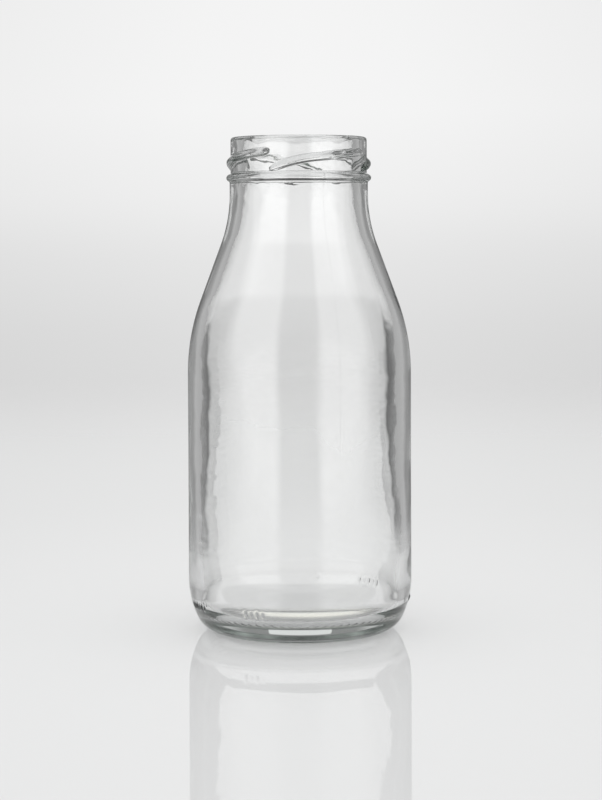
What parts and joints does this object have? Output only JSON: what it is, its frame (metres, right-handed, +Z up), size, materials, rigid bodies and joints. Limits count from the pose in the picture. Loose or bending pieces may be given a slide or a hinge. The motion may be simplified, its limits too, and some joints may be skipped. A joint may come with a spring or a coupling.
{
  "type": "glass milk bottle",
  "caption": "Small clear glass milk bottle with a straight side, sloping shoulder, bead and wide mouth with interrupted cam lugs for a twist-off cap.",
  "frame": {"origin": "centre of the base, on the plane the bottle stands on", "axes": "+Z up along the bottle's axis, through the mouth; -Y is the front, with a lug's low end 25 degrees to the left of it; +X is to the right seen from the front"},
  "size_m": [0.064, 0.064, 0.141],
  "materials": {
    "clear_glass": "fire-polished, clear with a faint grey-green cast"
  },
  "bodies": {
    "root": {"glass_bottle": "clear_glass"}
  },
  "joints": []
}
